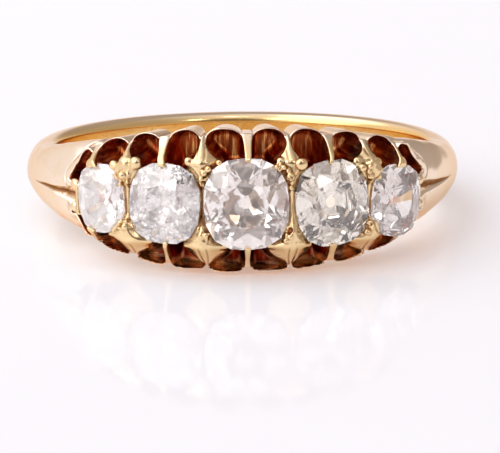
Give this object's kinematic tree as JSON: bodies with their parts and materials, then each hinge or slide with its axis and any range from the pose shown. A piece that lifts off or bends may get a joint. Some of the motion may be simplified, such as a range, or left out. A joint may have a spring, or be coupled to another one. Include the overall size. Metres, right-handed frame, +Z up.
{
  "type": "five stone ring",
  "caption": "Half hoop finger ring in yellow gold: graduated old cut white stones in a carved, scalloped boat-shaped head on a tapering D-section band.",
  "frame": {"origin": "on the ground, under the middle of the ring as it lies on its side", "axes": "+Z up, -Y toward the stones, +X to the right of someone facing them"},
  "size_m": [0.0202, 0.0216, 0.0065],
  "materials": {
    "gold": "polished gold, worn",
    "diamond": "faceted, clear"
  },
  "bodies": {
    "root": {"ring_mount": "gold", "stone_left_end": "diamond", "stone_left": "diamond", "stone_middle": "diamond", "stone_right": "diamond", "stone_right_end": "diamond"}
  },
  "joints": []
}
